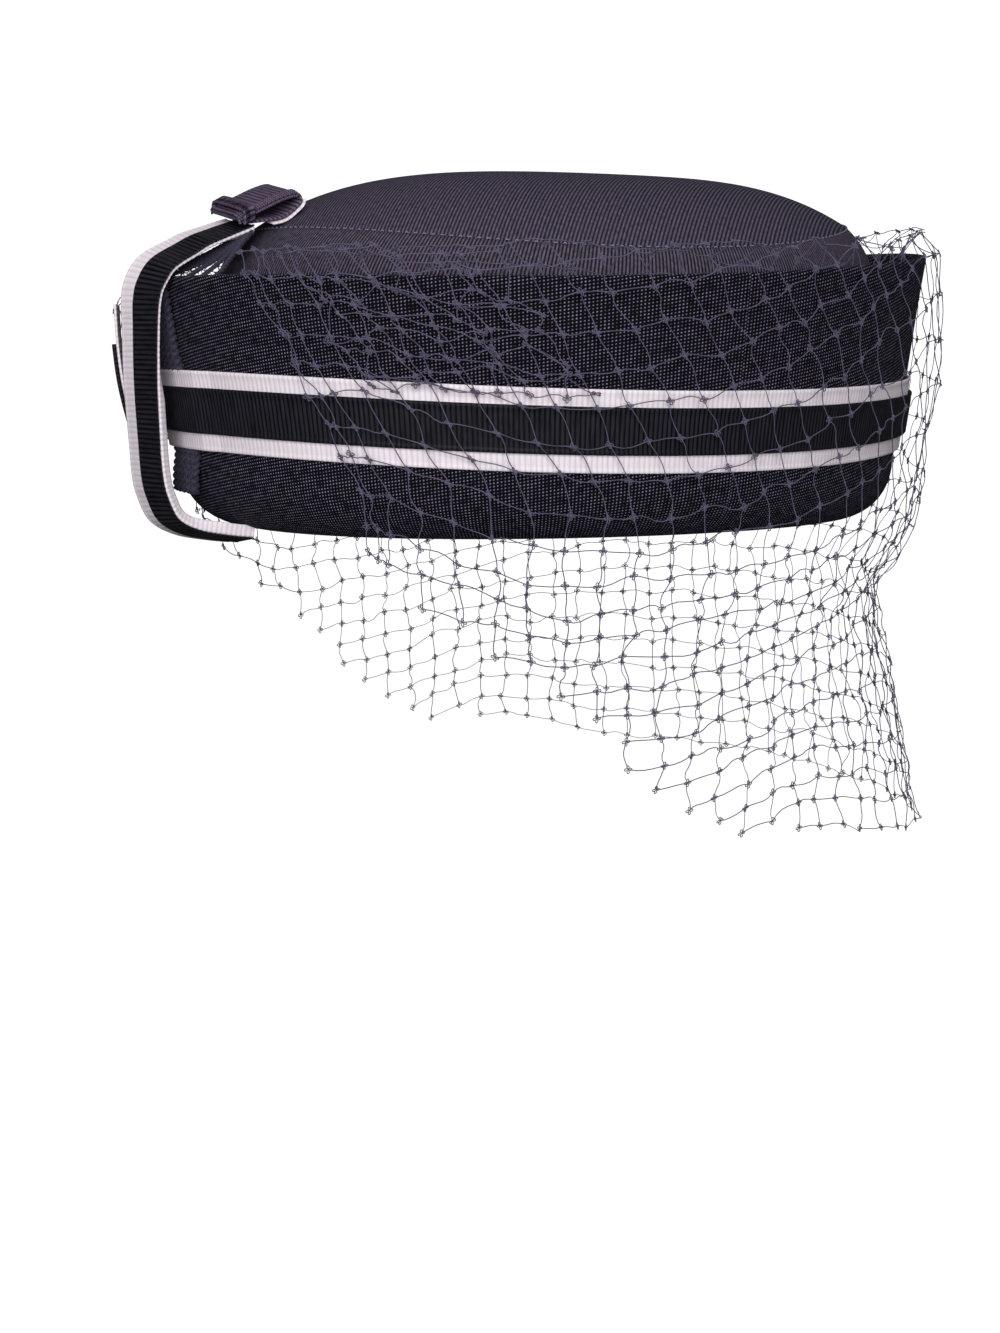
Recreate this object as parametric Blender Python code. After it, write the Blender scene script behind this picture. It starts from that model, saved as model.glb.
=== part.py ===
"""Pillbox hat with a ribbon trim and a net veil, one object for each sewn piece.

Metres, +Z up. The origin is the centre of the head opening in the plane of the rim, the front with the bow
faces -Y, and the wearer's left is +X. Angles round the hat run from +X (0) over the back, +Y (90 degrees).
"""

import math

import bmesh
import bpy
from mathutils import Vector

MM = 0.001
GAP = 0.3 * MM  # clear space between neighbouring pieces
ROUND_STEPS = 56  # steps round the oval of every ring-shaped piece
ROUTE_STEPS = 3  # steps between the given points of a ribbon's route
SHARP_EDGE = math.radians(40)

# Lines round the hat, in mm: (middle height, rise at the back and fall at the front, rise at the sides).
RIM_LINE = (1.5, -1.5, 0.6)
CUFF_TOP_LINE = (76.5, 5.6, -2.6)
BAND_TOP_LINE = (44.9, -1.05, -2.05)
TIP_SEAM_LINE = (85.8, 3.5, -4.8)

# The cuff: an oval wall that leans outwards going up, its half sizes given at CUFF_HEIGHT.
CUFF_HEIGHT = CUFF_TOP_LINE[0] * MM
CUFF_HALF_LENGTH = 125.5 * MM
CUFF_HALF_WIDTH = 104 * MM
CUFF_LEAN_ENDS = 0.13  # outward run for each unit of height, at front and back
CUFF_LEAN_SIDES = 0.16
CUFF_SLANT = 0.03  # how far the oval moves back for each unit going down
CUFF_WALL = 2.5 * MM
RIM_ROLL = 14 * MM  # radius of the roll at the rim
LIP = 1.5 * MM  # the cuff's edge past the lowest line of the roll
ROLL_STEPS = 6
# The rounded top edge of the cuff: (inset, height below the top) as shares of half the wall.
CUFF_EDGE_OUTER = ((0, 1), (0.3, 0.3), (1, 0))
CUFF_EDGE_INNER = ((2, 1), (1.7, 0.3), (1.3, 0))

# The crown: a wall that swells to a soft shoulder, and a domed tip.
CROWN_WALL = 2 * MM
CROWN_CLEAR = 0.4 * MM  # between its foot and the edge of the cuff's roll
CROWN_RAISE = 0.1 * MM  # its foot above the rim
CROWN_STRAIGHT = 4 * MM  # the upright stretch at its foot
CROWN_SLACK_PLACE, CROWN_SLACK = 0.6, 0.4  # where the wall falls in, and by how much of its thickness
SHOULDER_STRAIGHT = 8 * MM  # the upright stretch under the shoulder
SHOULDER_ROUND_PLACE, SHOULDER_ROUND = 0.45, 0.6  # the same for the roll to the seam, outwards
# The inner points of the roll and of the seam: (inwards, down) as shares of the wall.
CROWN_ROLL_INNER, CROWN_SEAM_INNER = (1, 0.45), (0.7, 0.9)
SHOULDER_HALF_LENGTH = 106 * MM
SHOULDER_HALF_WIDTH = 93 * MM
SHOULDER_DROP = 9 * MM  # below the tip's seam
TIP_HALF_LENGTH = 96 * MM
TIP_HALF_WIDTH = 84.4 * MM
TIP_SHIFT = 1.9 * MM  # the tip's centre, towards the back
TIP_RISE = 17.5 * MM
TIP_FULLNESS = 3.6  # exponent of the dome's profile
TIP_RINGS = (0.25, 0.5, 0.7, 0.86, 1)
TIP_SLANT = 1.4 * MM  # its edge is cut on the slant to meet the crown's wall
TIP_CLEAR = 0.24 * MM
TIP_LIFT = 0.18 * MM

# Ribbons.
RIBBON = 1 * MM  # thickness of one layer
WHITE_WIDTH = 22.2 * MM
NAVY_WIDTH = 12.7 * MM
BAND_TOP_MARGIN = 4.6 * MM  # white that shows above the navy
BRAID_SIDES = (-13, 6)  # its edges' x on the front of the cuff
BRAID_FOOT = 13 * MM  # height of its lower end
BRAID_BELOW_EDGE = 1 * MM  # where it leaves the cuff's wall
BRAID_ROWS = 9  # rows of points up the wall
# Over the cuff's edge to the bow: (y, z, lean of its thickness towards -Y, edges' x).
BRAID_ROUTE = ((-124.9, 74.1, 0.5, -13, 6), (-122.5, 75, 0, -11.5, 7.5), (-117, 77.6, -0.3, -7, 13),
               (-109, 81.6, -0.5, 0, 13), (-104.3, 84.1, -0.4, 4, 11))
BRAID_BEND = 6  # how much further back a point 1 m to the side lies, in metres
BRAID_POINTS = 7  # points across it
OVER_BRAID_MIDDLE, OVER_BRAID_FLAT, OVER_BRAID_END = 268.2, 9, 13  # degrees: where the band rises over it
STRIP_TURN = math.radians(10)  # the front strip faces a little towards +X
STRIP_X = 2.2  # the white ribbon's middle
STRIP_NAVY_SIDEWAYS = 2.1 * MM  # the navy ribbon's middle from the white one's
STRIP_ROUTE = ((-106.4, 86.4), (-110.5, 84.9), (-115, 83.2), (-119.4, 80.8), (-126.3, 76.7), (-129.9, 71.5),
               (-131.2, 66.8), (-131.6, 60), (-132, 45), (-131.6, 30), (-131, 18.5), (-129.6, 12.3),
               (-126.5, 6.2), (-120, 2.6), (-111, 0.6), (-104, -0.4))
BOW_WIDTH = 21 * MM
BOW_TURN = math.radians(10)
BOW_ROUTE = ((-103.6, 90), (-98, 90.7), (-92.4, 91.8), (-88.4, 94.6), (-86.8, 96.6), (-88.2, 98.4),
             (-92.5, 97.3), (-98, 94.8), (-103, 92.4), (-105.9, 90.9))
BOW_WHITE_START, BOW_WHITE_END = 6, 17  # the steps of the bow's route that the white ribbon backs
WRAP_WIDTH = 4 * MM
WRAP_CENTRE = (0, -103.4, 92.1)
WRAP_SLOPE = math.radians(28)
WRAP_ROUTE = ((12.2, -1.8), (12, 0.4), (10.8, 1.7), (4, 2), (-4, 2), (-10.8, 1.7), (-12, 0.4), (-12.2, -1.8))
TAIL_WIDTH = 18 * MM
TAIL_NAVY_START = 3  # the step of the tail's route at which the navy ribbon begins
TAIL_ROUTE = ((-19.6, -133, 66), (-19.8, -132.6, 55), (-20, -131.4, 44), (-20.2, -129.2, 34),
              (-20.4, -126.8, 26))
TAIL_ACROSS = (-0.93, 0.37, 0)

# The veil: a thin shell of the net's outer form.
VEIL_WALL = 1.2 * MM
VEIL_COLUMNS = 35
VEIL_LOWEST = -98 * MM
VEIL_FRONT_FOOT = 0
VEIL_FRONT_TOP_ANGLE, VEIL_FRONT_FOOT_ANGLE = math.radians(-64), math.radians(-50)
# Shares of the half veil, 0 at the back and 1 at its open front edge.
VEIL_LEVEL_BACK = 0.3  # as far as the hem is level
VEIL_HEM_CURVE = 1.9  # exponent of the hem's rise from there
VEIL_SIDE_START, VEIL_SIDE_FULL = 0.3, 0.6  # where it turns from the back's shape to the sides'
VEIL_CORNER_START, VEIL_CORNER_FULL = 0.8, 0.95
VEIL_NEAREST = 18 * MM  # height below which the veil hangs straight
# Its gathered top, (outwards, up) from the cuff's top edge.
VEIL_HEADER = ((-6, -9), (-6.6, 0), (-5.4, 5.6), (-2, 8), (2, 6), (4, 0))
VEIL_DROPS = (0.06, 0.14, 0.24, 0.36, 0.48, 0.57, 0.66, 0.8, 0.9, 1.0)  # shares of the way down to the hem
# How far it stands out from the cuff's line: (millimetres below its top, millimetres outwards).
VEIL_STAND_BACK = ((0, 4), (20, 9), (45, 9.5), (75, 9), (92, 3), (102, -5), (114, -2), (150, 5), (175, 12))
VEIL_STAND_SIDE = ((0, 4), (30, 5), (75, 4), (100, 0), (175, -2))
VEIL_FAR_CORNER = ((0, 0), (8, 8), (24, 9), (45, 5), (70, 0))  # more at the wearer's right corner


def clear_scene():
    for thing in list(bpy.data.objects):
        bpy.data.objects.remove(thing, do_unlink=True)


def make_material(name, colour, roughness):
    material = bpy.data.materials.new(name)
    material.use_nodes = True
    shader = material.node_tree.nodes["Principled BSDF"]
    shader.inputs["Base Color"].default_value = (*colour, 1)
    shader.inputs["Roughness"].default_value = roughness
    shader.inputs["Metallic"].default_value = 0
    material.diffuse_color = (*colour, 1)
    return material


def add_object(name, work, material):
    """An object from a bmesh, with its faces turned outwards."""
    bmesh.ops.recalc_face_normals(work, faces=work.faces)
    mesh = bpy.data.meshes.new(name)
    work.to_mesh(mesh)
    work.free()
    mesh.shade_smooth()
    mesh.set_sharp_from_angle(angle=SHARP_EDGE)
    mesh.materials.append(material)
    thing = bpy.data.objects.new(name, mesh)
    bpy.context.scene.collection.objects.link(thing)
    return thing


def add_wall(name, sections, closed, material):
    """A wall through sections of (outer points, inner points); closed joins the last to the first."""
    work = bmesh.new()
    rows = [[[work.verts.new(point) for point in side] for side in section] for section in sections]
    last = len(rows[0][0]) - 1
    following = rows[1:] + rows[:1] if closed else rows[1:]
    for here, there in zip(rows, following):
        for side in (0, 1):
            for k in range(last):
                work.faces.new((here[side][k], here[side][k + 1], there[side][k + 1], there[side][k]))
        for k in (0, last):
            work.faces.new((here[0][k], here[1][k], there[1][k], there[0][k]))
    if not closed:
        for end in (rows[0], rows[-1]):
            for k in range(last):
                work.faces.new((end[0][k], end[0][k + 1], end[1][k + 1], end[1][k]))
    return add_object(name, work, material)


def spread(low, high, count):
    """count values from low to high, both included."""
    return [low + (high - low) * k / (count - 1) for k in range(count)]


def round_angles():
    return [2 * math.pi * k / ROUND_STEPS for k in range(ROUND_STEPS)]


def ramp(x, start, end):
    """0 up to start, 1 from end on, and a straight line between."""
    return min(1, max(0, (x - start) / (end - start)))


def follow(table, x):
    """Straight lines between the (x, value) points of a table."""
    for (x0, v0), (x1, v1) in zip(table, table[1:]):
        if x <= x1:
            return v0 + (v1 - v0) * max(0, x - x0) / (x1 - x0)
    return table[-1][1]


def smooth_route(points, steps, closed=False):
    """Points along a Catmull-Rom curve through the given ones, in metres from millimetres."""
    given = [Vector(point) * MM for point in points]
    count = len(given)
    route = []
    for k in range(count if closed else count - 1):
        if closed:
            a, b, c, d = (given[(k + j) % count] for j in (-1, 0, 1, 2))
        else:
            a, b, c, d = (given[min(max(k + j, 0), count - 1)] for j in (-1, 0, 1, 2))
        for j in range(steps):
            t = j / steps
            route.append(0.5 * (2 * b + (c - a) * t + (2 * a - 5 * b + 4 * c - d) * t**2
                                + (3 * b - a - 3 * c + d) * t**3))
    if not closed:
        route.append(given[-1])
    return route


def line_height(line, angle):
    middle, back, sides = line
    return (middle + back * math.sin(angle) + sides * math.cos(2 * angle)) * MM


def rim_height(angle):
    return line_height(RIM_LINE, angle)


def cuff_top(angle):
    return line_height(CUFF_TOP_LINE, angle)


def band_top(angle):
    return line_height(BAND_TOP_LINE, angle)


def seam_height(angle):
    return line_height(TIP_SEAM_LINE, angle)


def on_cuff(angle, height, outwards, lowest=-1):
    """The point at an angle and height that stands outwards from the cuff's wall line."""
    down = CUFF_HEIGHT - max(height, lowest)
    length = CUFF_HALF_LENGTH - CUFF_LEAN_ENDS * down + outwards
    width = CUFF_HALF_WIDTH - CUFF_LEAN_SIDES * down + outwards
    return Vector((width * math.cos(angle), CUFF_SLANT * down + length * math.sin(angle), height))


def make_cuff(material):
    def section(angle):
        rim, top = rim_height(angle), cuff_top(angle)
        outer, inner = [(RIM_ROLL + LIP, rim)], [(RIM_ROLL + LIP, rim + CUFF_WALL)]
        for turn in spread(0, math.pi / 2, ROLL_STEPS):
            for side, radius in ((outer, RIM_ROLL), (inner, RIM_ROLL - CUFF_WALL)):
                side.append((RIM_ROLL - radius * math.sin(turn), rim + RIM_ROLL - radius * math.cos(turn)))
        for side, edge in ((outer, CUFF_EDGE_OUTER), (inner, CUFF_EDGE_INNER)):
            side += [(inset * CUFF_WALL / 2, top - below * CUFF_WALL / 2) for inset, below in edge]
        return [[on_cuff(angle, height, -inset) for inset, height in side] for side in (outer, inner)]

    return add_wall("cuff", [section(angle) for angle in round_angles()], True, material)


def make_crown_side(material):
    """From its foot: upright, in a little, out to the shoulder, and over to the tip's seam."""
    foot = RIM_ROLL + LIP + CROWN_CLEAR

    def section(angle):
        c, s = math.cos(angle), math.sin(angle)
        bottom, seam = rim_height(angle) + CROWN_RAISE, seam_height(angle)
        low = on_cuff(angle, bottom, -foot)
        swell = Vector((SHOULDER_HALF_WIDTH * c, TIP_SHIFT + SHOULDER_HALF_LENGTH * s, seam - SHOULDER_DROP))
        top = Vector((TIP_HALF_WIDTH * c, TIP_SHIFT + TIP_HALF_LENGTH * s, seam))
        inwards = Vector((-c, -s, 0)) * CROWN_WALL
        down = Vector((0, 0, -CROWN_WALL))
        slack = low.lerp(swell, CROWN_SLACK_PLACE) + CROWN_SLACK * inwards
        roll = swell.lerp(top, SHOULDER_ROUND_PLACE) - SHOULDER_ROUND * inwards
        straight = swell - Vector((0, 0, SHOULDER_STRAIGHT))
        outer = [low, low + Vector((0, 0, CROWN_STRAIGHT)), slack, straight, swell, roll, top]
        inner = [point + inwards for point in outer[:-2]]
        inner += [point + share * inwards + fall * down
                  for point, (share, fall) in ((roll, CROWN_ROLL_INNER), (top, CROWN_SEAM_INNER))]
        return outer, inner

    return add_wall("crown_side", [section(angle) for angle in round_angles()], True, material)


def tip_point(share, angle, drop=0.0):
    """A point of the domed tip, share 0 at its centre and 1 at its seam, drop below its face."""
    middle = seam_height(math.pi / 4)
    height = middle + (seam_height(angle) - middle) * share**2 + TIP_RISE * (1 - share**TIP_FULLNESS)
    x = TIP_HALF_WIDTH * share * math.cos(angle)
    y = TIP_SHIFT + TIP_HALF_LENGTH * share * math.sin(angle)
    return Vector((x, y, height - drop))


def make_crown_tip(material):
    """The tip's edge is cut on the slant, clear of the wall's slanted end."""
    lift = Vector((0, 0, TIP_LIFT))
    work = bmesh.new()
    rings = []
    for drop, slant, shares in ((0, 0, TIP_RINGS), (CROWN_WALL, TIP_SLANT, TIP_RINGS[::-1])):
        narrow = [share * (1 - share * (TIP_CLEAR + slant) / TIP_HALF_WIDTH) for share in shares]
        rings += [[work.verts.new(tip_point(share, angle, drop) + lift) for angle in round_angles()]
                  for share in narrow]
    for here, there in zip(rings, rings[1:]):
        for k in range(ROUND_STEPS):
            after = (k + 1) % ROUND_STEPS
            work.faces.new((here[k], here[after], there[after], there[k]))
    for ring, drop in ((rings[0], 0), (rings[-1], CROWN_WALL)):
        centre = work.verts.new(tip_point(0, 0, drop) + lift)
        for k in range(ROUND_STEPS):
            work.faces.new((centre, ring[k], ring[(k + 1) % ROUND_STEPS]))
    return add_object("crown_tip", work, material)


def over_braid(angle):
    """How far the band stands out where it passes over the braid, as a share."""
    away = abs(math.degrees(angle) - OVER_BRAID_MIDDLE)
    return 1 - ramp(away, OVER_BRAID_FLAT, OVER_BRAID_END)


def make_band(name, layer, margin, width, material):
    """A ribbon round the cuff, layer 0 on the cloth and layer 1 on the first ribbon."""
    near = GAP + layer * (RIBBON + GAP)

    def section(angle):
        stand = near + over_braid(angle) * (RIBBON + GAP)
        top = band_top(angle) - margin
        heights = (top, top - width)
        return [[on_cuff(angle, height, stand + depth) for height in heights] for depth in (RIBBON, 0)]

    return add_wall(name, [section(angle) for angle in round_angles()], True, material)


def make_braid(material):
    """Up the front of the cuff, over its top edge and across the groove to the bow."""
    front = 1.5 * math.pi
    top = cuff_top(front)

    def across(place, low, high):
        return [[place(x * MM, depth) for x in spread(low, high, BRAID_POINTS)] for depth in (RIBBON, 0)]

    def on_wall(height):
        def place(x, depth):
            width = CUFF_HALF_WIDTH - CUFF_LEAN_SIDES * (CUFF_HEIGHT - height)
            point = on_cuff(front + math.asin(x / width), height, GAP + depth)
            return Vector((x, point.y, height))
        return across(place, *BRAID_SIDES)

    def above(y, z, lean, low, high):
        def place(x, depth):
            return Vector((x, y * MM + BRAID_BEND * x**2 - lean * depth, z * MM + depth))
        return across(place, low, high)

    sections = [on_wall(height) for height in spread(BRAID_FOOT, top - BRAID_BELOW_EDGE, BRAID_ROWS)]
    sections += [above(*station) for station in BRAID_ROUTE]
    return add_wall("front_braid", sections, False, material)


def make_ribbon(name, route, across, width, offset, material, closed=False):
    """A flat ribbon along a route: across gives its width's direction, offset moves it along its own face."""
    count = len(route)
    sections = []
    for k, point in enumerate(route):
        if closed:
            along = route[(k + 1) % count] - route[k - 1]
        else:
            along = route[min(k + 1, count - 1)] - route[max(k - 1, 0)]
        side = across(along)
        face = along.cross(side).normalized()
        edges = (point - side * width / 2, point + side * width / 2)
        depths = (offset + RIBBON / 2, offset - RIBBON / 2)
        sections.append([[edge + face * depth for edge in edges] for depth in depths])
    return add_wall(name, sections, closed, material)


def turned_across(turn):
    """Width directions of a ribbon whose route lies in the YZ plane, turned about that route towards +X."""
    def across(along):
        inwards = Vector((1, 0, 0)).cross(along).normalized()
        return Vector((math.cos(turn), 0, 0)) + inwards * math.sin(turn)
    return across


def make_front_strip(white, navy):
    route = smooth_route([(STRIP_X, y, z) for y, z in STRIP_ROUTE], ROUTE_STEPS)
    across = turned_across(STRIP_TURN)
    make_ribbon("front_white_ribbon", route, across, WHITE_WIDTH, 0, white)
    route = [point + across(Vector((0, 0, -1))) * STRIP_NAVY_SIDEWAYS for point in route]
    make_ribbon("front_navy_ribbon", route, across, NAVY_WIDTH, RIBBON + GAP, navy)


def make_bow(white, navy, braid):
    """A flat navy loop, the white ribbon round its back end, and the hemmed piece across its front."""
    loop = smooth_route([(0, y, z) for y, z in BOW_ROUTE], ROUTE_STEPS, closed=True)
    side = Vector((math.cos(BOW_TURN), 0, -math.sin(BOW_TURN)))
    up = Vector((math.sin(BOW_TURN), 0, math.cos(BOW_TURN)))

    def across(along):
        return side

    def lengthways(along):
        return Vector((0, math.cos(WRAP_SLOPE), math.sin(WRAP_SLOPE)))

    make_ribbon("bow_loop", loop, across, BOW_WIDTH, 0, navy, closed=True)
    backed = loop[BOW_WHITE_START:BOW_WHITE_END]
    make_ribbon("bow_white_ribbon", backed, across, BOW_WIDTH, RIBBON + GAP, white)
    wrap = smooth_route([Vector(WRAP_CENTRE) + side * x + up * z for x, z in WRAP_ROUTE], ROUTE_STEPS)
    make_ribbon("bow_wrap", wrap, lengthways, WRAP_WIDTH, 0, braid)


def make_tail(white, navy):
    route = smooth_route(TAIL_ROUTE, ROUTE_STEPS)

    def across(along):
        return Vector(TAIL_ACROSS).normalized()

    make_ribbon("tail_navy_ribbon", route[TAIL_NAVY_START:], across, TAIL_WIDTH, 0, navy)
    make_ribbon("tail_white_ribbon", route, across, TAIL_WIDTH, RIBBON + GAP, white)


def veil_hem(side):
    """The hem's height, side running from 0 at the back to 1 at a front corner."""
    rise = ramp(side, VEIL_LEVEL_BACK, 1) ** VEIL_HEM_CURVE
    return VEIL_LOWEST + (VEIL_FRONT_FOOT - VEIL_LOWEST) * rise


def veil_angle(place, share):
    """The angle of a column, place running from -1 to 1 along the veil, at a share of the way down."""
    front = VEIL_FRONT_TOP_ANGLE + (VEIL_FRONT_FOOT_ANGLE - VEIL_FRONT_TOP_ANGLE) * share
    return math.pi / 2 - place * (math.pi / 2 - front)


def veil_stand(place, down):
    """How far the veil stands outwards, down millimetres below its top."""
    sideways = ramp(abs(place), VEIL_SIDE_START, VEIL_SIDE_FULL)
    stand = (1 - sideways) * follow(VEIL_STAND_BACK, down) + sideways * follow(VEIL_STAND_SIDE, down)
    return stand + follow(VEIL_FAR_CORNER, down) * ramp(-place, VEIL_CORNER_START, VEIL_CORNER_FULL)


def make_veil(material):
    sections = []
    for place in spread(-1, 1, VEIL_COLUMNS):
        start = veil_angle(place, 0)
        fall = cuff_top(start) - veil_hem(abs(place))
        line = [(start, outwards * MM, cuff_top(start) + up * MM) for outwards, up in VEIL_HEADER]
        for share in VEIL_DROPS:
            angle = veil_angle(place, share)
            top = cuff_top(angle) * (1 - share) + cuff_top(start) * share
            line.append((angle, veil_stand(place, share * fall / MM) * MM, top - share * fall))
        outer, inner = [], []
        for k, (angle, outwards, height) in enumerate(line):
            before, after = line[max(k - 1, 0)], line[min(k + 1, len(line) - 1)]
            run, rise = after[1] - before[1], after[2] - before[2]
            length = math.hypot(run, rise)
            for points, half in ((outer, VEIL_WALL / 2), (inner, -VEIL_WALL / 2)):
                stand = outwards - half * rise / length
                points.append(on_cuff(angle, height + half * run / length, stand, VEIL_NEAREST))
        sections.append((outer, inner))
    return add_wall("veil", sections, False, material)


def main():
    clear_scene()
    cloth = make_material("navy_cloth", (0.012, 0.011, 0.022), 0.9)
    tip_cloth = make_material("navy_tip_cloth", (0.016, 0.014, 0.027), 0.85)
    white = make_material("white_grosgrain", (0.72, 0.66, 0.69), 0.6)
    navy = make_material("navy_grosgrain", (0.007, 0.008, 0.015), 0.55)
    braid = make_material("navy_braid", (0.02, 0.018, 0.04), 0.8)
    net = make_material("navy_net", (0.03, 0.025, 0.05), 0.8)
    make_cuff(cloth)
    make_crown_side(cloth)
    make_crown_tip(tip_cloth)
    make_band("band_white_ribbon", 0, 0, WHITE_WIDTH, white)
    make_band("band_navy_ribbon", 1, BAND_TOP_MARGIN, NAVY_WIDTH, navy)
    make_braid(braid)
    make_front_strip(white, navy)
    make_bow(white, navy, braid)
    make_tail(white, navy)
    make_veil(net)


main()
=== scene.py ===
"""A navy pillbox hat with a two-colour ribbon trim and a net veil, drawn over its CAD frame.

Sizes are in millimetres until a mesh is made. +Z is up, the origin is the centre of the head opening, the
front faces -Y and the wearer's left is +X. Angles round the hat run from +X over the back, +Y, at 90 degrees.
"""

import math

import bmesh
import bpy
import numpy as np
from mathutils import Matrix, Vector


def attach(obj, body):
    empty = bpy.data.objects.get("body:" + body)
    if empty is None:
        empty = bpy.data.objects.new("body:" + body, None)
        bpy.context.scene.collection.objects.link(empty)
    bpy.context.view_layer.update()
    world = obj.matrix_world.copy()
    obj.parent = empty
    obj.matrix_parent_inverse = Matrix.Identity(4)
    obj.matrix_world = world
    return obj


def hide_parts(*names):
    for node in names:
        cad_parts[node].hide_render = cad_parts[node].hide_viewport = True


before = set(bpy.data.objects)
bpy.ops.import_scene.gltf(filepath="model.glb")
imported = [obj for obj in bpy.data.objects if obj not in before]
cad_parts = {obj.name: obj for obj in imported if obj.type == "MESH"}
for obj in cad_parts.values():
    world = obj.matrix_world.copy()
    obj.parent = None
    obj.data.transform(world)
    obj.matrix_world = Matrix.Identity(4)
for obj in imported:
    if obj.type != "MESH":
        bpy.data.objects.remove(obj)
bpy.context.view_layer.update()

# ---------------------------------------------------------------------------------------------------------
# Cuff: the deep turned-up wall of the hat, a coarse plain-woven cloth stretched over a stiff buckram base.
# The cloth rolls under at the rim, where it is tacked inside, and over the wall's top edge into the groove
# between cuff and crown.


def linear(code):
    """A colour written as sRGB hex, as the linear RGBA that the shader takes."""
    parts = [int(code[k:k + 2], 16) / 255 for k in (1, 3, 5)]
    return [p / 12.92 if p <= 0.04045 else ((p + 0.055) / 1.055) ** 2.4 for p in parts] + [1]


def add(material, kind, inputs, **settings):
    """One shader node with its settings; each input takes a value or another node's output."""
    tree = material.node_tree
    made = tree.nodes.new("ShaderNode" + kind)
    for name, value in settings.items():
        setattr(made, name, value)
    for socket, value in inputs.items():
        if isinstance(value, bpy.types.NodeSocket):
            tree.links.new(value, made.inputs[socket])
        else:
            made.inputs[socket].default_value = value
    return made.outputs[0]


def tint(material, share, dark, light):
    """Colour the material from dark to light, two sRGB codes, as share goes from 0 to 1."""
    mix = add(material, "Mix", {0: share, 6: linear(dark), 7: linear(light)}, data_type="RGBA").node
    shader = material.node_tree.nodes["Principled BSDF"]
    material.node_tree.links.new(mix.outputs[2], shader.inputs["Base Color"])


def raise_threads(material, height, reach):
    """Bump the material by a height map that stands for reach, in millimetres."""
    bump = add(material, "Bump", {"Height": height, "Distance": reach / 1000, "Strength": 1})
    shader = material.node_tree.nodes["Principled BSDF"]
    material.node_tree.links.new(bump, shader.inputs["Normal"])


def fabric(name, roughness, sheen):
    """A new material with cloth's usual index of refraction."""
    material = bpy.data.materials.new(name)
    material.use_nodes = True
    shader = material.node_tree.nodes["Principled BSDF"]
    shader.inputs["Roughness"].default_value = roughness
    shader.inputs["IOR"].default_value = 1.5
    shader.inputs["Specular IOR Level"].default_value = 0.15
    shader.inputs["Sheen Weight"].default_value = sheen
    shader.inputs["Sheen Roughness"].default_value = 0.5
    return material


def skin(name, points, uv, material):
    """A smooth mesh over a grid of points. Where uv has one row or column more, that way round is closed."""
    rows, columns = points.shape[:2]
    r, c = np.mgrid[0:uv.shape[0] - 1, 0:uv.shape[1] - 1]
    corners = [(r, c), (r, c + 1), (r + 1, c + 1), (r + 1, c)]
    faces = np.stack([(a % rows) * columns + b % columns for a, b in corners], -1).reshape(-1, 4)
    mesh = bpy.data.meshes.new(name)
    mesh.from_pydata((points.reshape(-1, 3) / 1000).tolist(), [], faces.tolist())
    marks = np.stack([uv[a, b] for a, b in corners], -2) / 1000
    mesh.uv_layers.new(name="UVMap").data.foreach_set("uv", marks.ravel())
    mesh.shade_smooth()
    mesh.materials.append(material)
    thing = bpy.data.objects.new(name, mesh)
    bpy.context.scene.collection.objects.link(thing)
    return thing


EDGE_HEIGHT = 76.5  # of the cuff's top edge at the sides
HALF_WIDTH, HALF_LENGTH = 104, 125.5  # of the oval that the wall draws at that height
WIDTH_TAPER, LENGTH_TAPER = 0.16, 0.13  # what they lose for each millimetre further down


def on_cuff(angle, height, outwards, lowest=-1):
    """Points at these angles and heights that stand outwards from the cuff's wall line."""
    down = EDGE_HEIGHT - np.maximum(height, lowest)
    x = (HALF_WIDTH - WIDTH_TAPER * down + outwards) * np.cos(angle)
    y = 0.03 * down + (HALF_LENGTH - LENGTH_TAPER * down + outwards) * np.sin(angle)
    return np.stack(np.broadcast_arrays(x, y, height), -1)


def rim_height(angle):
    return 1.5 - 1.5 * np.sin(angle) + 0.6 * np.cos(2 * angle)


def cuff_top(angle):
    return EDGE_HEIGHT + 5.6 * np.sin(angle) - 2.6 * np.cos(2 * angle)


def run_length(points):
    """How far along a line of points each one is."""
    return np.concatenate([[0], np.cumsum(np.linalg.norm(np.diff(points, axis=0), axis=1))])


def woven(material, floats, height, ground, thread):
    """A plain weave cut on the bias, drawn on the UV map as painted highlights where a thread passes over and
    painted shade between the threads.

    floats says how many such points stand in a millimetre along two ways, each as (round the hat, upwards).
    """
    place = add(material, "UVMap", {})
    waves = []
    for around, upwards in floats:
        rate = (2000 * math.pi * around, 2000 * math.pi * upwards, 0)
        turn = add(material, "VectorMath", {0: place, 1: rate}, operation="DOT_PRODUCT").node.outputs["Value"]
        wave = add(material, "Math", {0: turn}, operation="SINE")
        waves.append(add(material, "MapRange", {0: wave, 1: -0.7, 2: 1}))
    over = add(material, "Math", {0: waves[0], 1: waves[1]}, operation="MULTIPLY")
    slub = add(material, "TexNoise", {"Vector": place, "Scale": 420, "Detail": 2})
    uneven = add(material, "Math", {0: over, 1: slub}, operation="MULTIPLY")
    # Painted highlight on the threads' tops and painted shade between them, from their height.
    tint(material, add(material, "MapRange", {0: uneven, 1: 0.17, 2: 0.5}), ground, thread)
    raise_threads(material, over, height)


# Navy plain weave, coloured by the height of its threads: a bluish lilac painted highlight where one passes
# over, near-black painted shade between them.
cuff_cloth = fabric("navy plain weave cloth", 0.9, 0)
woven(cuff_cloth, ((1.0, 0), (-0.17, 1.07)), 0.2, "#040308", "#8a84a3")

ROUND = 600  # points once round the cuff and the crown
turns = np.linspace(0, 2 * np.pi, ROUND + 1)
angle = turns[None, :-1]
rim, top = rim_height(angle), cuff_top(angle)

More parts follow.
